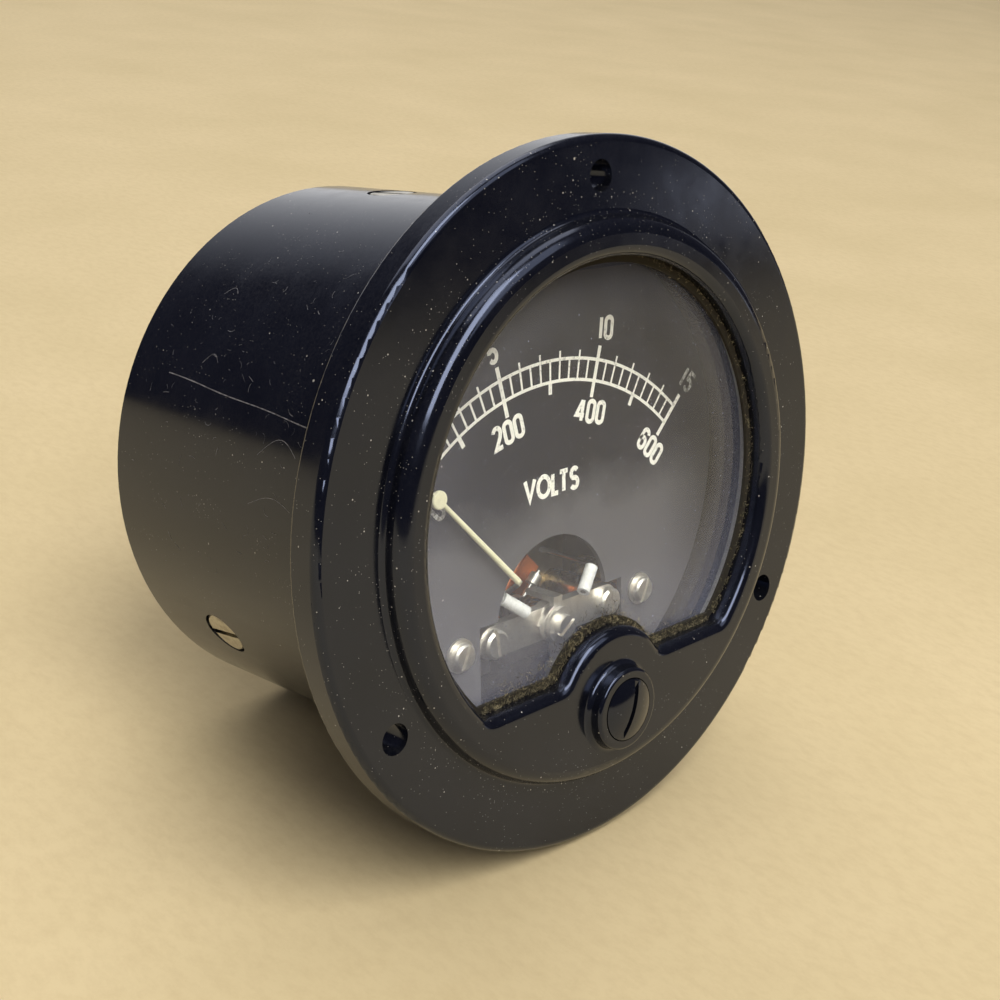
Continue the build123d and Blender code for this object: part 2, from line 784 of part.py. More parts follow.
# pointer stops: a bent wire each side, sleeved where the pointer arm meets it
stop_inner_r = 6.0
stop_inner_angle = 62.0
y_stop_inner = 4.1
stop_elbow_r = 10.3
stop_elbow_angle = 57.6
y_stop_elbow = 5.5
stop_wire_r = 0.4
stop_bend_r = 0.5
stop_sleeve_r = 0.85
stop_sleeve_length = 4.1
stop_wires = []
stop_sleeves = []
for side in (-1, 1):
    inner_x, inner_z = polar(stop_inner_r, side * stop_inner_angle, pivot_z)
    elbow_x, elbow_z = polar(stop_elbow_r, side * stop_elbow_angle, pivot_z)
    inner_end = Vector(inner_x, y_stop_inner, inner_z)
    elbow = Vector(elbow_x, y_stop_elbow, elbow_z)
    wire_end = Plane(origin=inner_end, z_dir=elbow - inner_end)
    with BuildPart() as wire:
        with BuildLine():
            FilletPolyline(inner_end, elbow, (elbow_x, y_poles, elbow_z), radius=stop_bend_r)
        with BuildSketch(wire_end):
            Circle(stop_wire_r)
        sweep()
    stop_wires.append(wire.part)
    with BuildPart() as sleeve:
        with BuildSketch(wire_end):
            Circle(stop_sleeve_r)
            Circle(stop_wire_r, mode=Mode.SUBTRACT)
        extrude(amount=stop_sleeve_length)
    stop_sleeves.append(sleeve.part)

with BuildPart() as pointer_stop_wires:
    add(stop_wires)
pointer_stop_wires.part.label = "pointer_stop_wires"
export_step(pointer_stop_wires.part, "parts/pointer_stop_wires.step")

with BuildPart() as pointer_stop_sleeves:
    add(stop_sleeves)
pointer_stop_sleeves.part.label = "pointer_stop_sleeves"
export_step(pointer_stop_sleeves.part, "parts/pointer_stop_sleeves.step")


# ---------------------------------------------------------------- frame and rear base

frame_post_angles = (0, 120, 240)
frame_post_circle = 24.0
with BuildPart() as movement_frame:
    with BuildSketch(facing(y_frame)):
        Circle(base_rim_r - 0.4)
        with Locations((0, pivot_z)):
            Circle(8.3, mode=Mode.SUBTRACT)
        with Locations((0, 7)):
            SlotCenterToCenter(16, 10, mode=Mode.SUBTRACT)
    extrude(amount=-frame_thick)
movement_frame.part.label = "movement_frame"
export_step(movement_frame.part, "parts/movement_frame.step")

post_places = [polar(frame_post_circle, clock_angle) for clock_angle in frame_post_angles]
base_screw_r = 1.4
frame_post_r = 2.6
with BuildPart() as frame_posts:
    with BuildSketch(facing(y_frame_back)):
        with Locations(*post_places):
            Circle(frame_post_r)
            Circle(base_screw_r, mode=Mode.SUBTRACT)
    extrude(amount=y_frame_back - y_base_floor)
frame_posts.part.label = "frame_posts"
export_step(frame_posts.part, "parts/frame_posts.step")

terminal_places = [(-terminal_x, terminal_z), (terminal_x, terminal_z)]
pad_r = 6.5
pad_high = 1.0
insert_r = 2.4
base_screw_head_r = 2.7
counterbore_r = 3.0
counterbore_deep = 2.2
mark_z = terminal_z + 11
mark_long = 4.0
mark_wide = 1.0
mark_high = 0.4
base_r = bore_r - base_clearance
with BuildPart() as rear_base:
    with BuildSketch(Plane.XY):
        with BuildLine():
            Polyline(
                (0, y_base_floor), (base_rim_r, y_base_floor), (base_rim_r, y_base_rim),
                (base_r, y_base_rim), (base_r, barrel_end), (0, barrel_end),
                close=True,
            )
        make_face()
    revolve(axis=Axis.Y)
    chamfer(rear_base.faces().sort_by(Axis.Y)[-1].edges(), 0.6)
    with BuildSketch(facing(barrel_end)):
        with Locations(*terminal_places):
            Circle(pad_r)
    extrude(amount=-pad_high)
    with BuildSketch(facing(barrel_end + pad_high)):
        with Locations(*terminal_places):
            Circle(stud_r)
    extrude(amount=barrel_end + pad_high - y_base_floor, mode=Mode.SUBTRACT)
    with BuildSketch(facing(y_base_floor)):
        with Locations(*post_places):
            Circle(base_screw_r)
    extrude(amount=-10, mode=Mode.SUBTRACT)
    with BuildSketch(facing(barrel_end)):
        with Locations(*post_places):
            Circle(counterbore_r)
    extrude(amount=counterbore_deep, mode=Mode.SUBTRACT)
    # raised polarity marks beside the studs
    with BuildSketch(facing(barrel_end)):
        with Locations((-terminal_x, mark_z), (terminal_x, mark_z)):
            Rectangle(mark_long, mark_wide)
        with Locations((-terminal_x, mark_z)):
            Rectangle(mark_wide, mark_long)
    extrude(amount=-mark_high)
    for clock_angle in (0, 120, 240):
        x, z = polar(1, clock_angle)
        side = Plane(origin=(x * base_r, side_screw_y, z * base_r), x_dir=(0, 1, 0), z_dir=(x, 0, z))
        with BuildSketch(side):
            Circle(insert_r)
        extrude(amount=base_rim_r - base_r - 1, mode=Mode.SUBTRACT)
rear_base.part.label = "rear_base"
export_step(rear_base.part, "parts/rear_base.step")

insert_bore_r = 1.6
side_head_r = 3.15
side_head_thick = 1.45
side_head_seat = 1.6
side_shoulder_r = 2.0
side_thread_length = 3.6
side_slot_wide = 0.8
side_slot_deep = 0.9
side_slot_angle = 8
insert_parts = []
side_screw_parts = []
for clock_angle in (0, 120, 240):
    x, z = polar(1, clock_angle)
    side = Plane(
        origin=(x * barrel_r, side_screw_y, z * barrel_r), x_dir=(0, 1, 0), z_dir=(x, 0, z)
    )
    with BuildPart() as insert:
        with BuildSketch(side.offset(base_r - barrel_r - 0.2)):
            Circle(insert_r)
            Circle(insert_bore_r, mode=Mode.SUBTRACT)
        extrude(amount=base_rim_r - base_r + 0.6)
    insert_parts.append(insert.part)
    with BuildPart() as side_screw:
        with BuildSketch(side.offset(-side_head_seat)):
            Circle(side_head_r)
        extrude(amount=side_head_thick)
        chamfer(side_screw.edges().filter_by(GeomType.CIRCLE), 0.3)
        with BuildSketch(side.offset(-side_head_seat)):
            Circle(side_shoulder_r)
        extrude(amount=side_head_seat - wall)
        with BuildSketch(side.offset(-wall)):
            Circle(insert_bore_r)
        extrude(amount=-side_thread_length)
        with BuildSketch(side):
            Rectangle(side_head_r * 3, side_slot_wide, rotation=side_slot_angle)
        extrude(amount=-side_slot_deep, mode=Mode.SUBTRACT)
    side_screw_parts.append(side_screw.part)

with BuildPart() as base_inserts:
    add(insert_parts)
base_inserts.part.label = "base_inserts"
export_step(base_inserts.part, "parts/base_inserts.step")

with BuildPart() as side_screws:
    add(side_screw_parts)
side_screws.part.label = "side_screws"
export_step(side_screws.part, "parts/side_screws.step")

base_screw = slotted_screw(base_screw_head_r, 1.6, base_screw_r, 10.0, 40).rotate(Axis.X, 180)
with BuildPart() as base_screws:
    with Locations(*[(x, barrel_end - counterbore_deep, z) for x, z in post_places]):
        add(base_screw)
base_screws.part.label = "base_screws"
export_step(base_screws.part, "parts/base_screws.step")


# ---------------------------------------------------------------- terminals

y_pad = barrel_end + pad_high
plain_washer_thick = 1.0
lock_washer_thick = 1.1
nut_thick = 3.2
y_lock = y_pad + plain_washer_thick
y_nut = y_lock + lock_washer_thick
y_outer_washer = y_nut + nut_thick
y_outer_nut = y_outer_washer + plain_washer_thick
stud_head_thick = 1.8
stud_head_r = 4.6
plain_washer_r = 5.4
lock_washer_r = 4.2
nut_corner_r = 5.5
relief_depth = 0.3
relief_wide = 0.5
stud_names = ("terminal_stud_positive", "terminal_stud_negative")
for name, place in zip(stud_names, terminal_places):
    with BuildPart() as terminal_stud:
        with BuildSketch(facing(y_base_floor - stud_head_thick)):
            with Locations(place):
                RegularPolygon(stud_head_r, 6)
        extrude(amount=-stud_head_thick)
        with BuildSketch(facing(y_base_floor)):
            with Locations(place):
                Circle(stud_r)
        extrude(amount=y_base_floor - stud_end)
        chamfer(terminal_stud.faces().sort_by(Axis.Y)[-1].edges(), 0.5)
        with BuildSketch(facing(y_outer_nut + nut_thick)):
            with Locations(place):
                Circle(stud_r + 1)
                Circle(stud_r - relief_depth, mode=Mode.SUBTRACT)
        extrude(amount=-relief_wide, mode=Mode.SUBTRACT)
    terminal_stud.part.label = name
    export_step(terminal_stud.part, f"parts/{name}.step")

with BuildPart() as terminal_washers:
    for y in (y_pad, y_outer_washer):
        with BuildSketch(facing(y)):
            with Locations(*terminal_places):
                Circle(plain_washer_r)
                Circle(stud_r, mode=Mode.SUBTRACT)
        extrude(amount=-plain_washer_thick)
terminal_washers.part.label = "terminal_washers"
export_step(terminal_washers.part, "parts/terminal_washers.step")

with BuildPart() as lock_washers:
    with BuildSketch(facing(y_lock)):
        with Locations(*terminal_places):
            Circle(lock_washer_r)
            Circle(stud_r, mode=Mode.SUBTRACT)
            with Locations((0, (lock_washer_r + stud_r) / 2)):
                Rectangle(0.5, 3, mode=Mode.SUBTRACT)
    extrude(amount=-lock_washer_thick)
lock_washers.part.label = "lock_washers"
export_step(lock_washers.part, "parts/lock_washers.step")

with BuildPart() as terminal_nuts:
    for y in (y_nut, y_outer_nut):
        with BuildSketch(facing(y)):
            with Locations(*terminal_places):
                RegularPolygon(nut_corner_r, 6)
                Circle(stud_r, mode=Mode.SUBTRACT)
        extrude(amount=-nut_thick)
terminal_nuts.part.label = "terminal_nuts"
export_step(terminal_nuts.part, "parts/terminal_nuts.step")


# ---------------------------------------------------------------- series resistors and leads

bobbin_x = 11.0
bobbin_z = 12.0
y_bobbin = 30.4
bobbin_flange_r = 5.2
bobbin_flange = 1.2
bobbin_core_r = 2.6
winding_outer_r = 4.5
bobbin_places = [(-bobbin_x, bobbin_z), (bobbin_x, bobbin_z)]
winding_length = y_base_floor - y_bobbin - 2 * bobbin_flange

with BuildPart() as resistor_bobbins:
    for y in (y_bobbin, y_base_floor - bobbin_flange):
        with BuildSketch(facing(y)):
            with Locations(*bobbin_places):
                Circle(bobbin_flange_r)
        extrude(amount=-bobbin_flange)
    with BuildSketch(facing(y_bobbin + bobbin_flange)):
        with Locations(*bobbin_places):
            Circle(bobbin_core_r)
    extrude(amount=-winding_length)
resistor_bobbins.part.label = "resistor_bobbins"
export_step(resistor_bobbins.part, "parts/resistor_bobbins.step")

with BuildPart() as resistor_windings:
    with BuildSketch(facing(y_bobbin + bobbin_flange)):
        with Locations(*bobbin_places):
            Circle(winding_outer_r)
            Circle(bobbin_core_r, mode=Mode.SUBTRACT)
    extrude(amount=-winding_length)
resistor_windings.part.label = "resistor_windings"
export_step(resistor_windings.part, "parts/resistor_windings.step")

lead_r = 0.5
y_leads = y_base_floor - stud_head_thick + 0.9
lead_routes = [
    [(terminal_x, y_leads, terminal_z + 4.4), (terminal_x + 1.5, 36.5, 2),
     (bobbin_x + 1, 34.5, bobbin_z - 4.9)],
    [(bobbin_x - 4.9, 33.5, bobbin_z), (0, 32.2, bobbin_z + 1.5), (4.9 - bobbin_x, 33.5, bobbin_z)],
    [(-terminal_x, y_leads, terminal_z - 4.4), (-12.5, 37.2, -13.5), (-8, 36.6, pivot_z + 1.5)],
]
leads = []
for route in lead_routes:
    with BuildPart() as lead:
        with BuildLine():
            path = Spline(*route)
        with BuildSketch(Plane(origin=path @ 0, z_dir=path % 0)):
            Circle(lead_r)
        sweep()
    leads.append(lead.part)

with BuildPart() as lead_wires:
    add(leads)
lead_wires.part.label = "lead_wires"
export_step(lead_wires.part, "parts/lead_wires.step")
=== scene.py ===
"""Looks of a round panel voltmeter: finishes for the CAD nodes, the dial's printing, dust, scratches,
floor, light and camera. The mesh code and materials work in millimetres, the rest in metres."""

import json
import math
import random

import bpy
from mathutils import Euler, Matrix, Vector


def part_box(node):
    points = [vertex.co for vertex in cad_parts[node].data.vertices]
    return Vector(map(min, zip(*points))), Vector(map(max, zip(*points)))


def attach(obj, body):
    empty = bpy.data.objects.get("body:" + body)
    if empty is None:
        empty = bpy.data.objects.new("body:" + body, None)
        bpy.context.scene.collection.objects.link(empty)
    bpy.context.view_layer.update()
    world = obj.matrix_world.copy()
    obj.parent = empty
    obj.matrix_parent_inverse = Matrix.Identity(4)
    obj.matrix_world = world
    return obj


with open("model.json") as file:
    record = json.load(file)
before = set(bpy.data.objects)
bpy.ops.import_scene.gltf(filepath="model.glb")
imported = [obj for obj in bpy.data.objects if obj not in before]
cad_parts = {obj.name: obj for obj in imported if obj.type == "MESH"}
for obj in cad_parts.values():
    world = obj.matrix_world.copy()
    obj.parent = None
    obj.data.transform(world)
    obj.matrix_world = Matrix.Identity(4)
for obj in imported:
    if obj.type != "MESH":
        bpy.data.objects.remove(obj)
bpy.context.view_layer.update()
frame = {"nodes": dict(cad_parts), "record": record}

MM = 0.001
chance = random.Random(88)

# ------------------------------------------------------------------ dimensions, millimetres

PIVOT_Z = -17.5
ADJUSTER_Z = -25.9
BARREL_R = 35.9
WINDOW_R = 30.5
WINDOW_CHORD_Z = -21.0
WINDOW_CORNER = 1.0
LOBE_R = 10.1
RING_FOOT_R = 36.0
DIAL_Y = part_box("dial_plate")[0].y / MM
FRONT = Vector((0, -1, 0))


# ------------------------------------------------------------------ shader graphs


PRINCIPLED_INPUTS = {
    "base": "Base Color",
    "rough": "Roughness",
    "metal": "Metallic",
    "normal": "Normal",
    "ior": "IOR",
    "tint": "Specular Tint",
    "through": "Transmission Weight",
}


class Graph:
    """A material's node tree, with short calls for the nodes used here."""

    def __init__(self, name):
        self.material = bpy.data.materials.new(name)
        self.material.use_nodes = True
        self.tree = self.material.node_tree
        self.tree.nodes.clear()
        self.output = self.tree.nodes.new("ShaderNodeOutputMaterial")

    def node(self, kind, values=None, **settings):
        """A new node with its settings, and values or links for its inputs."""
        made = self.tree.nodes.new(kind)
        for key, value in settings.items():
            setattr(made, key, value)
        for key, value in (values or {}).items():
            self.feed(made.inputs[key], value)
        return made

    def feed(self, socket, value):
        """Links an output to the socket, or sets the socket's own number or colour."""
        if isinstance(value, bpy.types.NodeSocket):
            self.tree.links.new(value, socket)
        elif isinstance(value, tuple) and len(value) == 3 and socket.type == "RGBA":
            socket.default_value = (*value, 1.0)
        else:
            socket.default_value = value

    def place(self, stretch=(1.0, 1.0, 1.0)):
        """Object coordinates in millimetres, stretched by axis."""
        spot = self.node("ShaderNodeTexCoord").outputs["Object"]
        scaled = self.node("ShaderNodeVectorMath", {0: spot}, operation="MULTIPLY")
        scaled.inputs[1].default_value = tuple(s / MM for s in stretch)
        return scaled.outputs[0]

    def noise(self, where, size, detail=3.0, rough=0.55):
        """Noise from 0 to 1 whose features are about size millimetres across."""
        values = {"Vector": where, "Scale": 1.0 / size, "Detail": detail, "Roughness": rough}
        return self.node("ShaderNodeTexNoise", values).outputs["Fac"]

    def ramp(self, value, low, high, to_low=0.0, to_high=1.0):
        """A straight run from to_low at low to to_high at high, level past both ends."""
        values = {"Value": value, "From Min": low, "From Max": high, "To Min": to_low, "To Max": to_high}
        return self.node("ShaderNodeMapRange", values, clamp=True).outputs["Result"]

    def math(self, operation, first, second=0.0):
        return self.node("ShaderNodeMath", {0: first, 1: second}, operation=operation).outputs[0]

    def axes(self, vector):
        """The vector's x, y and z."""
        split = self.node("ShaderNodeSeparateXYZ", {"Vector": vector}).outputs
        return split["X"], split["Y"], split["Z"]

    def axis_distance(self, x, z):
        """Distance from the meter's axis."""
        squares = self.math("ADD", self.math("MULTIPLY", x, x), self.math("MULTIPLY", z, z))
        return self.math("SQRT", squares)

    def blend(self, share, first, second):
        """Colour first where share is 0, second where it is 1."""
        made = self.node("ShaderNodeMix", data_type="RGBA")
        self.feed(made.inputs["Factor"], share)
        self.feed(made.inputs[6], first)
        self.feed(made.inputs[7], second)
        return made.outputs[2]

    def specks(self, where, cell, size, share):
        """1 on small round specks: one to a cell at most, in that share of the cells."""
        cells = self.node("ShaderNodeTexVoronoi", {"Vector": where, "Scale": 1.0 / cell})
        near = self.ramp(cells.outputs["Distance"], size / cell, size / cell * 0.5)
        split = self.node("ShaderNodeSeparateColor", {"Color": cells.outputs["Color"]})
        return self.math("MULTIPLY", near, self.math("LESS_THAN", split.outputs[0], share))

    def bump(self, height, distance, strength):
        """A normal for relief of that height over distance millimetres."""
        values = {"Height": height, "Distance": distance * MM, "Strength": strength}
        return self.node("ShaderNodeBump", values).outputs["Normal"]

    def principled(self, **values):
        """The main surface shader; PRINCIPLED_INPUTS gives the names that values may use."""
        named = {PRINCIPLED_INPUTS[key]: value for key, value in values.items()}
        return self.node("ShaderNodeBsdfPrincipled", named).outputs["BSDF"]

    def finish(self, shader):
        self.tree.links.new(shader, self.output.inputs["Surface"])
        return self.material


def up_facing(graph):
    """1 where the surface faces up, 0 where it is upright or faces down."""
    normal = graph.node("ShaderNodeNewGeometry").outputs["Normal"]
    return graph.ramp(graph.axes(normal)[2], 0.1, 0.9)


def dust_film(g, where, dust):
    """How dusty the moulding is: a film in patches, thicker on top, and hairline scuffs."""
    patches = g.ramp(g.noise(where, 12.0, 4.0, 0.6), 0.45, 0.7)
    fine = g.noise(where, 0.4, 2.0)
    scuffs = g.ramp(g.noise(g.place((0.4, 3.0, 0.7)), 0.8, 5.0, 0.75), 0.58, 0.75)
    settled = g.math("MULTIPLY", up_facing(g), 0.7)
    film = g.math("MULTIPLY", g.math("ADD", settled, g.math("MULTIPLY", patches, 0.5)), dust)
    film = g.math("MULTIPLY", film, g.ramp(fine, 0.35, 0.7))
    return g.math("ADD", film, g.math("MULTIPLY", scuffs, dust * 0.25))


def dust_specks(g, where):
    """Pale specks of three sizes, crowded in patches and round the foot of the window's ring."""
    x, y, z = g.axes(where)
    from_foot = g.math("ABSOLUTE", g.math("SUBTRACT", g.axis_distance(x, z), RING_FOOT_R))
    at_foot = g.math("MULTIPLY", g.ramp(from_foot, 4.0, 0.5, 0.0, 0.55), g.ramp(y, 1.0, -2.0))
    crowd = g.math("ADD", g.ramp(g.noise(where, 6.0, 3.0), 0.45, 0.65, 0.12, 0.6), at_foot)
    tiny = g.math("MULTIPLY", g.specks(where, 0.45, 0.065, crowd), 0.5)
    small = g.math("MULTIPLY", g.specks(where, 1.3, 0.12, crowd), 0.8)
    large = g.math("MULTIPLY", g.specks(where, 4.6, 0.2, 0.35), 0.85)
    return g.math("MAXIMUM", g.math("MAXIMUM", tiny, small), large)


def moulding(name, tint, gloss, dust):
    """Black phenolic: faint mottling, rubbed patches, hairline scuffs, dust film and specks."""
    g = Graph(name)
    where = g.place()
    mottle = g.noise(where, 9.0, 4.0)
    rubbed = g.noise(where, 4.5, 5.0, 0.6)
    film = dust_film(g, where, dust)
    flecks = dust_specks(g, where)
    base = g.blend(g.ramp(mottle, 0.35, 0.7), tint, tuple(c * 1.5 + 0.001 for c in tint))
    base = g.blend(film, base, (0.30, 0.30, 0.33))
    base = g.blend(flecks, base, (0.55, 0.53, 0.48))
    rough = g.ramp(rubbed, 0.3, 0.75, gloss, gloss + 0.1)
    rough = g.math("ADD", rough, g.math("MULTIPLY", film, 1.5))
    normal = g.bump(g.math("ADD", rubbed, g.math("MULTIPLY", flecks, 0.6)), 0.008, 0.3)
    return g.finish(g.principled(base=base, rough=rough, normal=normal, ior=1.7, tint=(0.58, 0.68, 1.0)))


def metal(name, tint, rough, grain, tarnish=0.3, tarnish_tint=None):
    """Worn metal: directional grain, tarnish patches and darker grime."""
    g = Graph(name)
    where = g.place()
    lines = g.noise(g.place(grain), 0.3, 3.0, 0.6)
    patches = g.ramp(g.noise(where, 1.1, 4.0, 0.55), 0.45, 0.75)
    dull = tarnish_tint or tuple(c * 0.5 for c in tint)
    base = g.blend(g.math("MULTIPLY", patches, tarnish), tint, dull)
    base = g.blend(g.ramp(lines, 0.35, 0.8, 0.0, 0.18), base, dull)
    roughness = g.math("ADD", g.ramp(lines, 0.3, 0.7, rough * 0.85, rough * 1.15),
                       g.math("MULTIPLY", patches, 0.1))
    normal = g.bump(lines, 0.003, 0.3)
    return g.finish(g.principled(base=base, rough=roughness, metal=1.0, normal=normal))


def paint(name, tint, rough, worn_tint, wear=0.3, size=1.0):
    """Thin enamel with speckle, slight wear and pinholes."""
    g = Graph(name)
    where = g.place()
    speckle = g.noise(where, 0.25 * size, 3.0, 0.7)
    patches = g.ramp(g.noise(where, 3.0 * size, 5.0, 0.6), 0.45, 0.75)
    base = g.blend(g.math("MULTIPLY", patches, wear), tint, worn_tint)
    base = g.blend(g.ramp(speckle, 0.55, 0.8, 0.0, 0.35), base, worn_tint)
    roughness = g.ramp(speckle, 0.2, 0.8, rough, rough + 0.2)
    normal = g.bump(speckle, 0.01, 0.5)
    return g.finish(g.principled(base=base, rough=roughness, normal=normal))


def plain(name, tint, rough, size=0.6, depth=0.02):
    """Mottled plastic, fibre or rubber."""
    g = Graph(name)
    grain = g.noise(g.place(), size, 5.0, 0.7)
    dark = tuple(c * 0.7 for c in tint)
    light = tuple(min(1.0, c * 1.25) for c in tint)
    base = g.blend(g.ramp(grain, 0.3, 0.7), dark, light)
    roughness = g.ramp(grain, 0.2, 0.8, rough - 0.1, rough + 0.1)
    return g.finish(g.principled(base=base, rough=roughness, normal=g.bump(grain, depth, 0.6)))


def dial_enamel(name):
    """Matt black enamel, paler in the lower half and towards the left as a painted reflection of the floor,
    paler in a patch at the top, with speckle and dots.
    """
    g = Graph(name)
    where = g.place()
    cloud = g.noise(where, 11.0, 5.0, 0.6)
    speckle = g.noise(where, 0.3, 3.0, 0.7)
    x, _, z = g.axes(where)
    drift = g.math("ADD", z, g.ramp(cloud, 0.3, 0.7, -3.0, 3.0))
    # Paler towards the bottom and the left: a painted reflection of the floor in the glass, not fading of
    # the enamel.
    painted_floor_reflection = g.math("MULTIPLY", g.ramp(drift, 2.5, -5.0), g.ramp(x, 34.0, 20.0, 0.25, 1.0))
    top_patch = g.math("MULTIPLY", g.ramp(drift, 14.0, 20.0, 0.0, 0.32), g.ramp(x, 18.0, 12.0))
    base = g.blend(g.ramp(cloud, 0.35, 0.7), (0.005, 0.006, 0.016), (0.010, 0.010, 0.023))
    # This pale grey is a painted floor reflection in the lower half and at the left, and a paler patch at
    # the top.
    base = g.blend(g.math("MAXIMUM", painted_floor_reflection, top_patch), base, (0.105, 0.102, 0.115))
    base = g.blend(g.ramp(speckle, 0.55, 0.85, 0.0, 0.1), base, (0.14, 0.13, 0.13))
    dots = g.math("MAXIMUM", g.specks(where, 1.1, 0.09, 0.4), g.specks(where, 3.3, 0.16, 0.3))
    base = g.blend(g.math("MULTIPLY", dots, 0.8), base, (0.5, 0.42, 0.4))
    return g.finish(g.principled(base=base, rough=g.ramp(speckle, 0.2, 0.8, 0.5, 0.6)))


def low_left(graph, x, z):
    """1 at the lower left of the face, fading to 0 across it."""
    slant = graph.math("ADD", x, graph.math("MULTIPLY", z, 0.6))
    return graph.ramp(slant, 4.0, -26.0)


def window_pane(name):
    """Clear glass that bends light, lets lamps through, and has a thin film of dust and smears; the film is
    thickened towards the bottom and the lower left as a painted reflection of the floor.
    """
    g = Graph(name)
    where = g.place()
    smear = g.noise(g.place((1.0, 1.0, 0.45)), 9.0, 5.0, 0.65)
    fine = g.noise(where, 0.5, 3.0, 0.7)
    x, _, z = g.axes(where)
    rim = g.ramp(g.axis_distance(x, z), 22.0, 31.0)
    low = g.ramp(z, -8.0, -20.0)
    near_edge = g.math("MULTIPLY", g.math("MAXIMUM", rim, low), g.ramp(fine, 0.3, 0.7, 0.0, 0.08))
    film = g.ramp(smear, 0.3, 0.8, 0.002, 0.018)
    # Thicker towards the bottom and the lower left: a painted reflection of the floor, not dust.
    film = g.math("ADD", film, g.ramp(z, 0.0, -14.0, 0.0, 0.03))
    film = g.math("ADD", film, g.math("MULTIPLY", low_left(g, x, z), 0.02))
    film = g.math("ADD", film, near_edge)
    dots = g.math("MAXIMUM", g.specks(where, 0.9, 0.075, 0.6), g.specks(where, 2.6, 0.13, 0.5))
    film = g.math("MAXIMUM", film, g.math("MULTIPLY", dots, 0.7))
    glass = g.principled(base=(0.97, 0.985, 0.98), rough=0.0, ior=1.5, through=1.0, tint=(0.5, 0.6, 0.9))
    haze = g.node("ShaderNodeBsdfDiffuse", {"Color": (0.62, 0.63, 0.8)}).outputs[0]
    dust_and_painted_reflection = g.node("ShaderNodeMixShader", {0: film, 1: glass, 2: haze}).outputs[0]
    clear = g.node("ShaderNodeBsdfTransparent", {"Color": (0.93, 0.94, 0.93)}).outputs[0]
    shadow = g.node("ShaderNodeLightPath").outputs["Is Shadow Ray"]
    return g.finish(g.node("ShaderNodeMixShader", {0: shadow, 1: dust_and_painted_reflection, 2: clear}).outputs[0])


def printed_ink(name, worn_from, worn_to):
    """Off-white printing, rubbed away where the wear noise is between the two levels or higher."""
    g = Graph(name)
    where = g.place()
    wear = g.noise(where, 0.55, 4.0, 0.75)
    rubbed = g.noise(where, 5.0, 2.0)
    gone = g.ramp(g.math("ADD", wear, g.math("MULTIPLY", rubbed, 0.35)), worn_from, worn_to)
    base = g.blend(gone, (1.0, 0.98, 0.92), (0.16, 0.155, 0.15))
    return g.finish(g.principled(base=base, rough=0.6, normal=g.bump(wear, 0.01, 0.5)))


def fuzz_dust():
    """Dark fibres with straw-coloured ones among them."""
    g = Graph("gasket_fuzz")
    tone = g.noise(g.place(), 0.6, 4.0, 0.75)
    base = g.blend(g.ramp(tone, 0.45, 0.68), (0.035, 0.028, 0.016), (0.55, 0.47, 0.27))
    return g.finish(g.principled(base=base, rough=0.95))


def scratch_tone():
    """Pale grey that comes and goes along a scratch."""
    g = Graph("scratch_tone")
    tone = g.noise(g.place(), 0.8, 4.0, 0.75)
    base = g.blend(g.ramp(tone, 0.35, 0.65), (0.03, 0.03, 0.04), (0.26, 0.26, 0.28))
    return g.finish(g.principled(base=base, rough=0.7))


def kraft_floor():
    """Plain pale tan board with a soft fibre mottle."""
    g = Graph("floor_board")
    where = g.place()
    fibre = g.noise(g.place((1.0, 0.55, 1.0)), 1.8, 6.0, 0.7)
    cloud = g.noise(where, 60.0, 3.0)
    base = g.blend(g.ramp(cloud, 0.3, 0.7), (0.64, 0.515, 0.29), (0.70, 0.565, 0.33))
    base = g.blend(g.ramp(fibre, 0.42, 0.75, 0.0, 0.4), base, (0.53, 0.40, 0.215))
    return g.finish(g.principled(base=base, rough=0.85, normal=g.bump(fibre, 0.05, 0.35)))


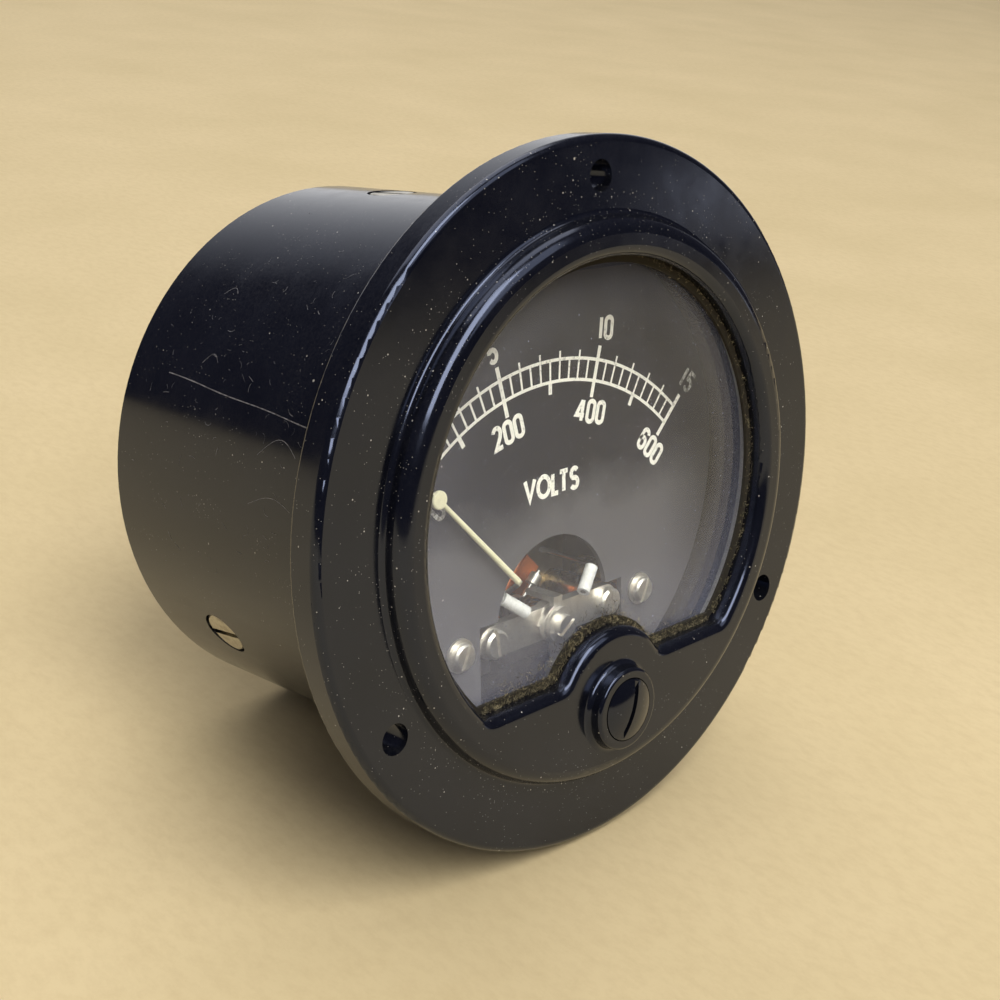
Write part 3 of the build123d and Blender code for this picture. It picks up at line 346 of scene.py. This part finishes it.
# The record's material slots: what makes each finish, then that function's values after the name.
FINISHES = {
    "case_moulding": (moulding, (0.0024, 0.0028, 0.0052), 0.09, 0.03),
    "base_moulding": (moulding, (0.003, 0.0033, 0.005), 0.18, 0.045),
    "adjuster_moulding": (moulding, (0.0024, 0.0028, 0.005), 0.08, 0.02),
    "spring_steel": (metal, (0.5, 0.49, 0.47), 0.3, (1, 1, 4)),
    "window_glass": (window_pane,),
    "gasket_cork": (plain, (0.022, 0.018, 0.011), 0.95, 0.35, 0.1),
    "side_screw_steel": (metal, (0.56, 0.54, 0.49), 0.32, (4, 1, 1), 0.5, (0.2, 0.17, 0.12)),
    "screw_steel": (metal, (0.78, 0.76, 0.72), 0.36, (4, 1, 1), 0.35),
    "brass": (metal, (0.72, 0.53, 0.26), 0.25, (1, 5, 1), 0.4, (0.3, 0.19, 0.08)),
    "terminal_brass": (metal, (0.66, 0.62, 0.54), 0.26, (1, 5, 1), 0.4, (0.32, 0.27, 0.18)),
    "dial_paint": (dial_enamel,),
    "nickel_plate": (metal, (0.95, 0.92, 0.86), 0.42, (3, 1, 1), 0.3, (0.35, 0.3, 0.24)),
    "magnet_steel": (paint, (0.07, 0.055, 0.05), 0.45, (0.16, 0.13, 0.12)),
    "pole_iron": (metal, (0.45, 0.42, 0.4), 0.4, (1, 4, 1), 0.4),
    "aluminium": (metal, (0.82, 0.82, 0.81), 0.28, (1, 4, 1), 0.15),
    "copper_wire": (metal, (1.0, 0.36, 0.16), 0.35, (7, 7, 1), 0.3, (0.4, 0.12, 0.06)),
    "pivot_steel": (metal, (0.62, 0.62, 0.63), 0.18, (1, 5, 1), 0.15),
    "hairspring_bronze": (metal, (0.7, 0.46, 0.25), 0.28, (1, 3, 1), 0.2),
    "pointer_paint": (paint, (0.95, 0.91, 0.66), 0.5, (0.72, 0.66, 0.42), 0.3, 0.5),
    "jewel_stone": (plain, (0.45, 0.03, 0.09), 0.12, 0.8, 0.002),
    "white_sleeving": (plain, (1.0, 1.0, 0.98), 0.45, 0.5, 0.005),
    "frame_brass": (metal, (0.62, 0.5, 0.3), 0.35, (1, 1, 4), 0.45),
    "bobbin_moulding": (plain, (0.2, 0.09, 0.04), 0.4, 0.9),
    "resistance_wire": (metal, (0.42, 0.33, 0.22), 0.4, (1, 8, 1), 0.3),
    "lead_insulation": (plain, (0.3, 0.045, 0.03), 0.6, 0.3, 0.03),
}

materials = {name: make(name, *values) for name, (make, *values) in FINISHES.items()}

for part in frame["record"]["subparts"]:
    cad = frame["nodes"][part["node"]]
    finish = materials[part["material_slot"]]
    if not cad.material_slots:
        cad.data.materials.append(finish)
    for slot in cad.material_slots:
        slot.material = finish


# ------------------------------------------------------------------ small pieces built in mesh code


def add_object(name, data):
    made = bpy.data.objects.new(name, data)
    bpy.context.scene.collection.objects.link(made)
    return made


def case_piece(name, ribbons, material):
    """Makes the strips one piece that rides on the case."""
    mesh = bpy.data.meshes.new(name)
    mesh.from_pydata([Vector(v) * MM for v in ribbons.vertices], [], ribbons.faces)
    mesh.materials.append(material)
    mesh.update()
    piece = add_object(name, mesh)
    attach(piece, "case")


SHARPEST_MITRE = 0.45


class Ribbons:
    """Thin flat strips gathered as one mesh. facing gives the outward direction at a point."""

    def __init__(self, facing):
        self.facing = facing
        self.vertices = []
        self.faces = []

    def strip(self, points, width):
        """Adds a strip along the points, mitred at its corners and closed if its ends meet."""
        points = [Vector(p) for p in points]
        closed = (points[0] - points[-1]).length < 1e-6
        start, last = len(self.vertices), len(points) - 1
        for i, point in enumerate(points):
            before = points[i - 1] if i else points[last - 1 if closed else 0]
            after = points[i + 1] if i < last else points[1 if closed else last]
            ahead, behind = after - point, point - before
            ahead = ahead if ahead.length > 1e-9 else behind
            behind = behind if behind.length > 1e-9 else ahead
            along = (ahead.normalized() + behind.normalized()).normalized()
            spread = width / 2 / max(SHARPEST_MITRE, along.dot(ahead.normalized()))
            side = along.cross(self.facing(point)).normalized() * spread
            self.vertices += [point + side, point - side]
        for i in range(last):
            corner = start + 2 * i
            self.faces.append((corner, corner + 1, corner + 3, corner + 2))


# ------------------------------------------------------------------ the dial's printing, millimetres

PRINT_Y = DIAL_Y - 0.02
INK_LAYER = 0.004
INK_LAYERS = 7
SCALE_CENTRE = (-0.35, PIVOT_Z - 0.33)
SCALE_HALF_ANGLE = 44.0
SCALE_VOLTS = 15
OUTER_R = 34.75
INNER_R = 32.05
FIVE_VOLTS_BELOW = 2.15
FIVE_VOLTS_ABOVE = 1.8
STUB_BELOW = 1.55
VOLT_ABOVE = 1.05
RAIL_WIDTH = 0.42
FINE_WIDTH = 0.33
BOLD_WIDTH = 0.62
NUMERAL_HEIGHT = 2.65
WORD_HEIGHT = 2.6


class Print(Ribbons):
    """Strips of ink on the dial, each a hair in front of the last so that none coincide."""

    def __init__(self):
        super().__init__(lambda point: FRONT)
        self.made = 0

    def ribbon(self, points, width):
        self.made += 1
        level = PRINT_Y - INK_LAYER * (self.made % INK_LAYERS)
        self.strip([(x, level, z) for x, z in points], width)


def scale_point(radius, angle):
    """The x and z of a point by its distance from the scale's centre and its angle from upright."""
    turn = math.radians(angle)
    return SCALE_CENTRE[0] + radius * math.sin(turn), SCALE_CENTRE[1] + radius * math.cos(turn)


def tick(ink, angle, inner, outer, width):
    """A line across the scale at an angle, between two radii."""
    ink.ribbon([scale_point(inner, angle), scale_point(outer, angle)], width)


def scale_lines():
    """Two rails with a line between them every half volt, long and bold every five volts."""
    ink = Print()
    half_degrees = round(2 * SCALE_HALF_ANGLE)
    for radius in (OUTER_R, INNER_R):
        rail = [scale_point(radius, step / 2) for step in range(-half_degrees, half_degrees + 1)]
        ink.ribbon(rail, RAIL_WIDTH)
    for half_volt in range(2 * SCALE_VOLTS + 1):
        angle = -SCALE_HALF_ANGLE + 2 * SCALE_HALF_ANGLE * half_volt / (2 * SCALE_VOLTS)
        if half_volt % 10 == 0:
            tick(ink, angle, INNER_R - FIVE_VOLTS_BELOW, OUTER_R + FIVE_VOLTS_ABOVE, BOLD_WIDTH)
        else:
            tick(ink, angle, INNER_R, OUTER_R, FINE_WIDTH)
            if half_volt % 5 == 0:
                tick(ink, angle, INNER_R - STUB_BELOW, INNER_R, BOLD_WIDTH)
        if half_volt % 2 == 0:
            tick(ink, angle, OUTER_R, OUTER_R + VOLT_ABOVE, FINE_WIDTH)
    return ink


def bend(cx, cz, rx, rz, first, last, steps=10):
    """Points along an elliptical arc; angles in degrees, anticlockwise from +x."""
    turns = [math.radians(first + (last - first) * i / steps) for i in range(steps + 1)]
    return [(cx + rx * math.cos(t), cz + rz * math.sin(t)) for t in turns]


def glyph(letter):
    """Strokes of a plain gothic letter, one unit high, and how far it moves the pen."""
    w = 0.46
    r = w / 2
    corner = 0.2
    slab = (bend(w - r, 1 - corner, r, corner, 90, 0, 5) + bend(w - r, corner, r, corner, 0, -180)
            + bend(r, 1 - corner, r, corner, 180, 90, 5))
    shapes = {
        "0": ([slab], w),
        "1": ([[(0.08, 1.0), (0.08, 0.0)]], 0.16),
        "2": ([bend(r, 0.76, r, 0.24, 170, -10) + [(0.38, 0.5), (0.02, 0.0), (w, 0.0)]], w),
        "4": ([[(0.42, 0.0), (0.42, 1.0)], [(0.36, 0.98), (0.02, 0.27), (0.58, 0.27)]], 0.56),
        "5": ([[(w, 1.0), (0.05, 1.0), (0.03, 0.56)] + bend(r, 0.33, r, 0.29, 130, -150)], w),
        "6": ([bend(r, 0.78, r, 0.22, 10, 180) + bend(r, 0.24, r, 0.24, 180, 360)
               + bend(r, 0.34, r, 0.22, 0, 180)], w),
        "V": ([[(0.0, 1.0), (0.33, 0.0), (0.66, 1.0)]], 0.66),
        "O": ([bend(0.4, 0.5, 0.4, 0.5, 90, 450, 24)], 0.8),
        "L": ([[(0.0, 1.0), (0.0, 0.0), (0.38, 0.0)]], 0.27),
        "T": ([[(0.0, 1.0), (0.56, 1.0)], [(0.28, 1.0), (0.28, 0.0)]], 0.56),
        "S": ([bend(0.25, 0.75, 0.23, 0.25, 30, 250) + bend(0.25, 0.26, 0.24, 0.26, 70, -150)], 0.5),
    }
    return shapes[letter]


def write(ink, text, x, z, height, turn=0.0, stroke=0.225, gap=0.25):
    """Adds text centred on a point and turned clockwise, in degrees; stroke and gap are shares of height."""
    widths = [glyph(letter)[1] for letter in text]
    total = sum(widths) + gap * (len(text) - 1)
    lean = math.radians(-turn)
    pen = -total / 2
    for letter, wide in zip(text, widths):
        for stroke_points in glyph(letter)[0]:
            placed = []
            for u, v in stroke_points:
                a, b = (pen + u) * height, (v - 0.5) * height
                placed.append((x + a * math.cos(lean) - b * math.sin(lean),
                               z + a * math.sin(lean) + b * math.cos(lean)))
            ink.ribbon(placed, stroke * height)
        pen += wide + gap


def numerals():
    """Both scales' numerals in the full ink, and the unit."""
    ink = Print()
    write(ink, "5", -10.3, 19.4, NUMERAL_HEIGHT, -14)
    write(ink, "10", 10.0, 19.7, NUMERAL_HEIGHT, 6)
    write(ink, "0", *scale_point(OUTER_R + 4.0, -SCALE_HALF_ANGLE), NUMERAL_HEIGHT, -SCALE_HALF_ANGLE)
    write(ink, "200", -7.8, 9.25, NUMERAL_HEIGHT, -14)
    write(ink, "400", 7.0, 9.3, NUMERAL_HEIGHT, 14)
    write(ink, "600", 19.0, 2.4, NUMERAL_HEIGHT, 44)
    write(ink, "VOLTS", -0.2, 1.1, WORD_HEIGHT, 0, 0.245, 0.23)
    return ink


def worn_and_shaded_numerals():
    """The outer scale's last numeral, worn, and the inner scale's first, printed faint as painted shade."""
    ink = Print()
    write(ink, "15", *scale_point(OUTER_R + 4.2, SCALE_HALF_ANGLE), NUMERAL_HEIGHT, SCALE_HALF_ANGLE, 0.2)
    # The inner scale's 0 takes the faint ink to paint the shadow it lies in, not wear.
    write(ink, "0", *scale_point(INNER_R - 4.2, -SCALE_HALF_ANGLE - 0.5), NUMERAL_HEIGHT, -SCALE_HALF_ANGLE)
    return ink


sharp_ink = printed_ink("dial_print", 0.73, 0.93)
case_piece("dial_scale_lines", scale_lines(), sharp_ink)
case_piece("dial_numerals", numerals(), sharp_ink)
# Faint ink: wear on the 15, painted shade on the inner 0.
case_piece("dial_worn_and_shaded_numerals", worn_and_shaded_numerals(), printed_ink("faint_and_shaded_print", 0.45, 0.7))


# ------------------------------------------------------------------ fuzz and scratches, millimetres

FUZZ_FRONT = -5.15
FUZZ_BACK = -4.65
FUZZ_TRIES = 3200
LEFT_RUN_END = 0.17
LOBE_RUN_END = 0.45
RIGHT_RUN_END = 0.62
RIM_FIRST_ANGLE = 132
RIM_LAST_ANGLE = 12
RIM_THINNING = 0.65
DEEP_FUZZ = (0.04, 0.36)
DEEPEST_FUZZ = 3.0
SCRATCH_LIFT = 0.012
SHORT_MARKS = 130
# Each hairline's angle clockwise from the top, first y, length along y and swing in degrees.
HAIRLINES = [
    (-84, 11, 8, 1.6),
    (-74, 11, 7, 2.6),
    (-77, 3, 5, 2.0),
    (-60, 30, 3, 1.5),
    (-45, 33, 2.5, 1.2),
]


def window_edge(share):
    """A point on the window's edge and the inward direction; share runs from lower left to upper right."""
    corner_x = math.sqrt(WINDOW_R ** 2 - WINDOW_CHORD_Z ** 2) - WINDOW_CORNER
    lobe_x = math.sqrt(LOBE_R ** 2 - (WINDOW_CHORD_Z - ADJUSTER_Z) ** 2)
    lobe_half = math.degrees(math.atan2(lobe_x, WINDOW_CHORD_Z - ADJUSTER_Z))
    if share < LEFT_RUN_END:
        t = share / LEFT_RUN_END
        return Vector((-corner_x + t * (corner_x - lobe_x), 0, WINDOW_CHORD_Z)), Vector((0, 0, 1))
    if share < LOBE_RUN_END:
        t = (share - LEFT_RUN_END) / (LOBE_RUN_END - LEFT_RUN_END)
        turn = math.radians(-lobe_half + 2 * lobe_half * t)
        out = Vector((math.sin(turn), 0, math.cos(turn)))
        return Vector((0, 0, ADJUSTER_Z)) + out * LOBE_R, out
    if share < RIGHT_RUN_END:
        t = (share - LOBE_RUN_END) / (RIGHT_RUN_END - LOBE_RUN_END)
        return Vector((lobe_x + t * (corner_x - lobe_x), 0, WINDOW_CHORD_Z)), Vector((0, 0, 1))
    t = (share - RIGHT_RUN_END) / (1.0 - RIGHT_RUN_END)
    turn = math.radians(RIM_FIRST_ANGLE - (RIM_FIRST_ANGLE - RIM_LAST_ANGLE) * t ** 1.3)
    out = Vector((math.sin(turn), 0, math.cos(turn)))
    return out * WINDOW_R, -out


def wander(start, heading, normal, length, steps=5, curl=0.7):
    """Points along a short fibre that bends at random in the plane across normal."""
    points, place, ahead = [Vector(start)], Vector(start), Vector(heading).normalized()
    for _ in range(steps):
        ahead.rotate(Matrix.Rotation(chance.uniform(-curl, curl), 3, normal))
        place = place + ahead * length / steps
        points.append(place.copy())
    return points


def gasket_fuzz():
    """Fibres along the window's edge, deepest at the lower left and round the lobe, sparse up the right."""
    fuzz = Ribbons(lambda point: FRONT)
    for _ in range(FUZZ_TRIES):
        share = chance.random()
        if share > RIGHT_RUN_END and chance.random() < RIM_THINNING:
            continue
        edge, inward = window_edge(share)
        spread = 1.0 if DEEP_FUZZ[0] < share < DEEP_FUZZ[1] else 0.4
        start = edge + inward * min(DEEPEST_FUZZ, chance.expovariate(1.0 / spread))
        start.y = chance.uniform(FUZZ_FRONT, FUZZ_BACK)
        heading = Vector((chance.uniform(-1, 1), 0, chance.uniform(-1, 1)))
        fibre = wander(start, heading, FRONT, chance.uniform(0.1, 0.8))
        fuzz.strip(fibre, chance.uniform(0.03, 0.075))
    return fuzz


def steps_along(count):
    """Shares from 0 to 1 in that many equal steps."""
    return [i / count for i in range(count + 1)]


def on_barrel(clock_angle, y):
    """A point just off the barrel, by its angle clockwise from the top and its y."""
    turn = math.radians(clock_angle)
    return Vector((math.sin(turn), 0, math.cos(turn))) * (BARREL_R + SCRATCH_LIFT) + Vector((0, y, 0))


def from_axis(point):
    return Vector((point.x, 0, point.z)).normalized()


def barrel_scratches():
    """One long scratch, a few long hairlines and many short marks, most of them on the barrel's left."""
    marks = Ribbons(from_axis)
    long_scratch = [on_barrel(-64 - 4 * t + 0.12 * math.sin(11 * t), 39 - 29 * t) for t in steps_along(24)]
    marks.strip(long_scratch, 0.13)
    for angle, y, length, swing in HAIRLINES:
        hairline = [on_barrel(angle + swing * math.sin(3.6 * t), y + length * t) for t in steps_along(12)]
        marks.strip(hairline, 0.07)
    for _ in range(SHORT_MARKS):
        angle, y = chance.gauss(-64, 24), chance.uniform(1.5, 44)
        lean, length = chance.uniform(0, 2 * math.pi), chance.uniform(0.15, 1.3)
        bow = chance.uniform(-1.2, 1.2)
        mark = []
        for t in steps_along(4):
            around = math.degrees(length * t * math.cos(lean + bow * t) / BARREL_R)
            mark.append(on_barrel(angle + around, y + length * t * math.sin(lean + bow * t)))
        marks.strip(mark, chance.uniform(0.018, 0.05))
    return marks


case_piece("gasket_fuzz", gasket_fuzz(), fuzz_dust())
case_piece("barrel_scratches", barrel_scratches(), scratch_tone())


# ------------------------------------------------------------------ floor, light and camera, metres

LEAN = math.radians(10.55)
REST_Z = -0.04445
FLOOR_HALF = 4.0
CAMERA_PLACE = (-0.13732, -0.12596, 0.05425)
CAMERA_DEGREES = (73.705, 0.908, -44.894)
FOCAL_LENGTH_MM = 55.87
WALL_DIRECTION = (0.6, 0.8, 0.0)
ROOM_GLOW = (0.045, 0.045, 0.065, 1.0)
WALL_GLOW = (1.05, 1.05, 1.05, 1.0)


def lay_floor():
    """A board under the meter, which rests on its flange and its barrel's rear rim."""
    board = bpy.data.meshes.new("floor")
    corners = [(x * FLOOR_HALF, y * FLOOR_HALF, 0) for x, y in ((-1, -1), (1, -1), (1, 1), (-1, 1))]
    board.from_pydata(corners, [], [(0, 1, 2, 3)])
    board.materials.append(kraft_floor())
    floor = add_object("floor", board)
    floor.location = (0, 0, REST_Z)
    floor.rotation_euler = (LEAN, 0, 0)


def soft_box(name, place, size, radiance, tint, upward=(0, 0, 1), mirrored=True):
    """A lamp at place, size wide and high, its height along upward, facing the object."""
    wide, high = size
    lamp = bpy.data.lights.new(name, "AREA")
    lamp.shape = "RECTANGLE"
    lamp.size = wide
    lamp.size_y = high
    lamp.color = tint
    lamp.energy = radiance * math.pi * wide * high
    away = Vector(place).normalized()
    across = Vector(upward).cross(away).normalized()
    made = add_object(name, lamp)
    made.location = place
    made.rotation_euler = Matrix((across, away.cross(across), away)).transposed().to_euler()
    made.visible_camera = False
    made.visible_glossy = mirrored


def studio_world():
    """A dim room that brightens smoothly towards its bright wall, behind the meter and to its right."""
    world = bpy.data.worlds.new("studio")
    world.use_nodes = True
    tree = world.node_tree
    heading = tree.nodes.new("ShaderNodeTexCoord").outputs["Generated"]
    toward = tree.nodes.new("ShaderNodeVectorMath")
    toward.operation = "DOT_PRODUCT"
    toward.inputs[1].default_value = WALL_DIRECTION
    tree.links.new(heading, toward.inputs[0])
    glow = tree.nodes.new("ShaderNodeMapRange")
    glow.inputs["From Min"].default_value = 0.6
    glow.inputs["From Max"].default_value = 0.98
    tree.links.new(toward.outputs["Value"], glow.inputs["Value"])
    wall = tree.nodes.new("ShaderNodeMix")
    wall.data_type = "RGBA"
    wall.inputs[6].default_value = ROOM_GLOW
    wall.inputs[7].default_value = WALL_GLOW
    tree.links.new(glow.outputs["Result"], wall.inputs["Factor"])
    tree.links.new(wall.outputs[2], tree.nodes["Background"].inputs["Color"])
    bpy.context.scene.world = world


def place_camera():
    """The camera in front of the meter, to its left and a little above it."""
    lens = bpy.data.cameras.new("camera")
    lens.sensor_width = 36.0
    lens.lens = FOCAL_LENGTH_MM
    lens.clip_start = 0.01
    camera = add_object("camera", lens)
    camera.location = CAMERA_PLACE
    camera.rotation_euler = Euler([math.radians(a) for a in CAMERA_DEGREES])
    bpy.context.scene.camera = camera


lay_floor()
soft_box("overhead", (0.4, 0.8, 3.2), (3.4, 3.4), 1.6, (1.0, 0.98, 0.95), (0, 1, 0))
soft_box("front_window", (0.6, -1.6, 1.5), (1.3, 1.3), 1.2, (0.97, 0.98, 1.0))
soft_box("left_window", (-0.58, -1.76, 1.9), (1.15, 2.5), 7.0, (1.0, 0.98, 0.93), (0.6, 0.36, 0.5))
soft_box("left_fill", (-1.9, -0.5, 1.2), (1.6, 1.6), 0.5, (1.0, 0.98, 0.95), mirrored=False)
soft_box("far_card", (2.97, -1.86, -0.29), (0.9, 0.14), 1.1, (1.0, 0.97, 0.92))
studio_world()
place_camera()
bpy.context.scene.view_settings.view_transform = "Standard"
